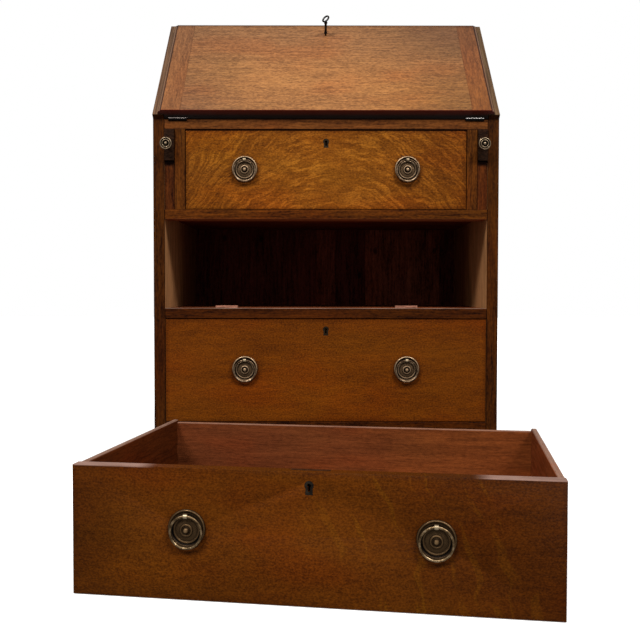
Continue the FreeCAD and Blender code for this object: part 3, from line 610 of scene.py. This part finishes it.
# On the fillers: painted shadow under the lopers.
give(wood("oak_filler", "row", "z", "filler", 12.4, special=chain(painted_gap_shade((IN, PART[1]), 0.0016), painted_shade_lines(((0.6683, -0.013),), 0.95))), "loper_fillers")
give(wood("loper", "row", "y", "loper", 13.8), "loper_left", "loper_right")
give(wood("boards_back", "row", "z", "back", 14.1, rough=0.7, spec=0.05, special=chain(board_tones(((0.102, 0.287, (2.3, 3.1, 2.5, 1)), (-0.02, 0.025, (1.7, 1.9, 1.6, 1)))),
                        knots(((0.126, 0.509, 0.006), (0.274, 0.509, 0.006), (0.087, 0.449, 0.005), (-0.2495, 0.540, 0.006), (-0.159, 0.540, 0.006))))), "back_boards")
give(wood("boards_dust", "row", "x", "dust", 15.5, contrast=0.55, rough=0.7, spec=0.05), "dust_boards")
give(wood("stop", "row", "x", "stop", 16.6, rough=0.7, spec=0.1), "drawer_stops")
give(wood("pigeon_shelf", "row", "x", "lining", 17.2, rough=0.5), "pigeonhole_shelf")
give(wood("pigeon_dividers", "row", "y", "lining", 18.4, rough=0.5), "pigeonhole_dividers")
give(wood("oak_fall", "fall", "f", "fall", 19.3, contrast=0.44, run=2.6, streak=1.1, broad=0.25, fleck=1.2, pore=0.08, spec=0.2, hue=0.5, lines_per_m=300.0, speck=(170.0, 420.0, 300.0), special=fall_painted_light_and_shade), "fall_panel")
give(wood("oak_cleat_left", "fall", "s", "cleat_left", 20.8, contrast=0.45, run=4.0, spec=0.2, hue=0.25, lines_per_m=220.0, special=fall_painted_light_and_shade), "fall_cleat_left")
give(wood("oak_cleat_right", "fall", "s", "cleat_right", 21.4, contrast=0.45, run=4.0, spec=0.2, hue=0.25, lines_per_m=220.0, special=fall_painted_light_and_shade), "fall_cleat_right")

Z1, H1, UP1 = 0.5715, 0.1568, 0.0
Z3, H3, UP3 = 0.1453, 0.2063, 0.0015
H2, UP2 = 0.1760, 0.0060
give(wood("oak_top_drawer", "row", "x", "top_drawer", 22.2, contrast=0.6, broad=0.25, streak=0.5, run=4.0, fleck=0.85, pore=0.25, speck=(260.0, 400.0, 300.0),
          special=chain(flame, light_patch(-0.235, Z1 + 0.130, 0.10, 0.055, 0.8, (1.24, 1.36, 1.05, 1)), light_patch(-0.235, Z1 + 0.020, 0.10, 0.055, 0.8, (0.84, 0.80, 0.62, 1)),
                        # Painted shade along the top of the drawer front, under the desk board.
                        light_patch(0.245, Z1 + 0.020, 0.10, 0.055, 0.8, (0.92, 0.90, 0.72, 1)), darken_ends(0.2796, 0.38, 0.35), edge_dark(0.2796, Z1, Z1 + H1, 0.010, 0.5), painted_shade_lines(((Z1 + H1, -0.0016),)),
                        painted_shadow_round_handles(Z1 + (H1 + 0.001) / 2 + UP1, 0.7))), "top_drawer_front")
give(wood("oak_third_drawer", "row", "x", "third", 23.7, contrast=0.55, broad=0.4, streak=0.5, run=4.0, fleck=0.95, pore=0.2, speck=(300.0, 420.0, 300.0),
          special=chain(light_patch(0.0, Z3 + 0.085, 0.20, 0.13, 0.8, (1.15, 1.17, 1.05, 1)), darken_ends(0.3215, 0.12), edge_dark(0.3215, Z3, Z3 + H3, 0.010, 0.45),
                        painted_shadow_round_handles(Z3 + (H3 + 0.001) / 2 + UP3, 0.7))), "third_drawer_front")
give(wood("oak_second_drawer", "loose", "x", "second", 24.9, contrast=0.5, broad=0.35, streak=0.4, run=4.0, fleck=1.1, pore=0.2, speck=(360.0, 460.0, 300.0),
          special=chain(rays(112, (-0.06, 0.12), 0.75, 2.4), light_patch(-0.22, 0.03, 0.09, 0.04, 0.7, (1.3, 1.36, 1.2, 1)),
                        light_patch(0.30, 0.09, 0.30, 0.30, 0.9, (0.62, 0.57, 0.66, 1)), light_patch(0.33, 0.09, 0.10, 0.30, 0.9, (0.82, 0.80, 0.84, 1)), light_patch(-0.33, 0.12, 0.14, 0.12, 0.8, (0.66, 0.60, 0.7, 1)), edge_dark(0.3215, 0.0, H2, 0.010, 0.4),
                        painted_shadow_round_handles((H2 + 0.001) / 2 + UP2, 0.45),
                        dark_top(H2, 0.0016, (0.205, 0.235), (1.06, 1.12, 1.1, 1)), pale_top(H2, 0.0016, lin(158, 124, 110), 0.85, (0.205, 0.235)))), "second_drawer_front")
for i, (d, sp, z0, h, up_) in enumerate((("top_drawer", "row", Z1, H1, UP1), ("second_drawer", "loose", 0.0, H2, UP2), ("third_drawer", "row", Z3, H3, UP3))):
    pt = pale_top(z0 + h - 0.0008, 0.0020, lin(136, 106, 90), 0.85)
    # On the loose drawer the left side gets the painted-shade lining tone and the right side the painted-light tone.
    give(wood(d + "_lining_left", sp, "y", "lining_painted_shade" if sp == "loose" else "lining", 30.1 + i, contrast=0.45, rough=0.55, special=pt), d + "_side_left")
    give(wood(d + "_lining_right", sp, "y", "lining_painted_light" if sp == "loose" else "lining", 34.7 + i, contrast=0.45, rough=0.55, special=pt), d + "_side_right")
    pb = pale_top(z0 + h - 0.0055, 0.0016, lin(150, 112, 92), 0.7)
    if sp == "loose":
        pb = chain(light_patch(0.24, 0.1, 0.26, 0.4, 0.9, (1.24, 1.22, 1.0, 1)), light_patch(-0.24, 0.1, 0.2, 0.4, 0.9, (0.9, 0.9, 1.0, 1)), pb)
    give(wood(d + "_lining_back", sp, "x", "lining", 38.3 + i, contrast=0.4, rough=0.55, special=pb), d + "_back")
    give(wood(d + "_lining_bottom", sp, "x", "lining", 41.9 + i, contrast=0.5, rough=0.6), d + "_bottom")
    # The loose drawer's brass and lock get darker shades than the upper drawers' as painted shade; on the upper drawers
    # the top part of each ring is painted shade above a brighter bottom.
    dark = sp == "loose"
    shades = {"lo": lin(18, 12, 8), "bl": lin(58, 42, 26), "md": lin(80, 60, 37), "bh": lin(104, 79, 51), "hi": lin(150, 120, 84), "pl": lin(72, 53, 33)} if dark else \
             {"lo": lin(28, 20, 14), "md": lin(106, 83, 59), "hi": lin(184, 154, 121)}
    give(turned_metal(d + "_brass", sp, 0.1625, z0 + (h + 0.001) / 2 + up_, 0.025, shades, LOOSE_STOPS if dark else HANDLE_STOPS, (0.0090, 0.0142), True), d + "_handle_plates")
    ring = aged(d + "_ring_brass", lin(60, 46, 31), lin(118, 95, 66), lin(186, 160, 124), rough=(0.3, 0.5)) if dark else \
        aged(d + "_ring_brass", lin(60, 47, 35), lin(132, 107, 82), lin(206, 178, 146), rough=(0.32, 0.52), shade=(z0 + (h + 0.001) / 2 + up_ + 0.004, (0.36, 0.33, 0.30, 1)))
    give(ring, d + "_ring_left", d + "_ring_right")
    lock = (lin(24, 20, 18), lin(44, 38, 32), lin(70, 62, 52)) if dark else (lin(28, 21, 15), lin(50, 40, 29), lin(80, 66, 49))
    give(aged(d + "_lock_brass", *lock, rough=(0.35, 0.55), space=sp, top=(z0 + h, lin(104, 66, 40))),
         d + "_lock", d + "_bolt")

for k, kx in (("left", 0.31595), ("right", 0.31245)):
    shades = {"lo": lin(22, 17, 12), "md": lin(88, 72, 54), "hi": lin(164, 142, 114)}
    give(turned_metal("brass_knob_" + k, "row", kx, 0.69915, 0.0122, shades, KNOB_STOPS, rough=(0.28, 0.46)), "loper_knob_" + k)
LOCK = aged("lock_steel", lin(42, 40, 38), lin(80, 77, 74), lin(126, 122, 117), rough=(0.35, 0.55), space="fall", shade=(0.0125, (0.15, 0.15, 0.15, 1)))
# Hinge knuckles: the lower half is painted nearly black as shade, and the left hinge is darker as painted shade.
STEEL = aged("hinge_steel", lin(158, 152, 147), lin(178, 172, 167), lin(200, 194, 188), rough=(0.3, 0.42), low=(HINGE_Z + 0.0001, lin(8, 6, 5)), left=(0.55, 0.50, 0.48, 1))
KEY = aged("key_steel", lin(20, 19, 19), lin(44, 42, 42), lin(84, 82, 82), rough=(0.3, 0.5))
give(STEEL, "desk_hinges", "fall_hinge_leaves")
give(LOCK, "fall_lock", "fall_bolt")
give(KEY, "key")

soften(["side_left", "side_right", "top_board", "desk_board", "rail_upper", "rail_lower", "bottom_board", "loper_partition_left",
        "loper_partition_right", "loper_fillers", "loper_left", "loper_right", "fall_panel", "fall_cleat_left", "fall_cleat_right",
        "front_feet", "base_moulding", "drawer_stops", "pigeonhole_shelf", "pigeonhole_dividers"], 0.0008)
soften(["rear_feet"], 0.0003, 1)
for d in ("top_drawer", "second_drawer", "third_drawer"):
    soften([d + "_front"], 0.0008)
    soften([d + "_side_left", d + "_side_right", d + "_back"], 0.0005, 1)

# ------------------------------------------------------------------ stage, lights
floor_mesh = bpy.data.meshes.new("floor")
S = 12.0
floor_mesh.from_pydata([(-S, -S, 0), (S, -S, 0), (S, S, 0), (-S, S, 0)], [], [(0, 1, 2, 3)])
floor = bpy.data.objects.new("floor", floor_mesh)
scene.collection.objects.link(floor)
fm = Mat("floor_white")
fn = fm.noise(fm.new("ShaderNodeTexCoord").outputs["Object"], (3, 3, 3), (0, 0, 0), 2.0)
fm.put(fm.bsdf.inputs["Base Color"], fm.ramp(fn, [(0.3, (0.88, 0.88, 0.87, 1)), (0.7, (0.92, 0.92, 0.91, 1))]))
fm.bsdf.inputs["Roughness"].default_value = 0.9
fm.bsdf.inputs["Specular IOR Level"].default_value = 0.0
fm.bsdf.inputs["Emission Color"].default_value = (1, 1, 1, 1)
fm.bsdf.inputs["Emission Strength"].default_value = 0.4
floor_mesh.materials.append(fm.mat)
floor.visible_diffuse = False
floor.visible_glossy = False


def sun(name, toward, strength, angle):
    d = bpy.data.lights.new(name, "SUN")
    d.energy = strength
    d.angle = math.radians(angle)
    o = bpy.data.objects.new(name, d)
    o.rotation_mode = "QUATERNION"
    o.rotation_quaternion = (-Vector(toward)).to_track_quat("-Z", "Y")
    o.location = Vector(toward) * 4.0
    scene.collection.objects.link(o)
    return o


sun("key_left", (-0.55, -0.78, 1.0), 2.1, 16)
sun("key_right", (0.55, -0.78, 1.0), 2.1, 16)

world = bpy.data.worlds.new("studio")
scene.world = world
world.use_nodes = True
wn = world.node_tree
wn.nodes.clear()
wo = wn.nodes.new("ShaderNodeOutputWorld")
seen = wn.nodes.new("ShaderNodeBackground")
seen.inputs[0].default_value = (1, 1, 1, 1)
seen.inputs[1].default_value = 1.0
fill = wn.nodes.new("ShaderNodeBackground")
direction = wn.nodes.new("ShaderNodeTexCoord")
axes = wn.nodes.new("ShaderNodeSeparateXYZ")
grade = wn.nodes.new("ShaderNodeValToRGB")
half = wn.nodes.new("ShaderNodeMath")
half.operation = "MULTIPLY_ADD"
half.inputs[1].default_value = 0.5
half.inputs[2].default_value = 0.5
wn.links.new(direction.outputs["Generated"], axes.inputs[0])
wn.links.new(axes.outputs[2], half.inputs[0])
wn.links.new(half.outputs[0], grade.inputs[0])
ge = grade.color_ramp.elements
ge[0].position, ge[0].color = 0.30, (0.14, 0.14, 0.14, 1)
ge[1].position, ge[1].color = 0.62, (0.40, 0.40, 0.40, 1)
mirror = wn.nodes.new("ShaderNodeValToRGB")
wn.links.new(half.outputs[0], mirror.inputs[0])
me = mirror.color_ramp.elements
me.new(0.5)
for e, (at, v) in zip(me, ((0.30, 0.46), (0.49, 0.24), (0.62, 0.40))):
    e.position, e.color = at, (v, v, v, 1)
pick = wn.nodes.new("ShaderNodeMix")
pick.data_type = "RGBA"
ray = wn.nodes.new("ShaderNodeLightPath")
wn.links.new(ray.outputs["Is Glossy Ray"], pick.inputs[0])
wn.links.new(grade.outputs[0], pick.inputs[6])
wn.links.new(mirror.outputs[0], pick.inputs[7])
wn.links.new(pick.outputs[2], fill.inputs[0])
fill.inputs[1].default_value = 1.0
mixw = wn.nodes.new("ShaderNodeMixShader")
lp = wn.nodes.new("ShaderNodeLightPath")
wn.links.new(lp.outputs["Is Camera Ray"], mixw.inputs[0])
wn.links.new(fill.outputs[0], mixw.inputs[1])
wn.links.new(seen.outputs[0], mixw.inputs[2])
wn.links.new(mixw.outputs[0], wo.inputs[0])

scene.view_settings.view_transform = "Standard"
scene.view_settings.look = "None"
scene.view_settings.exposure = 0.0
scene.view_settings.gamma = 1.0
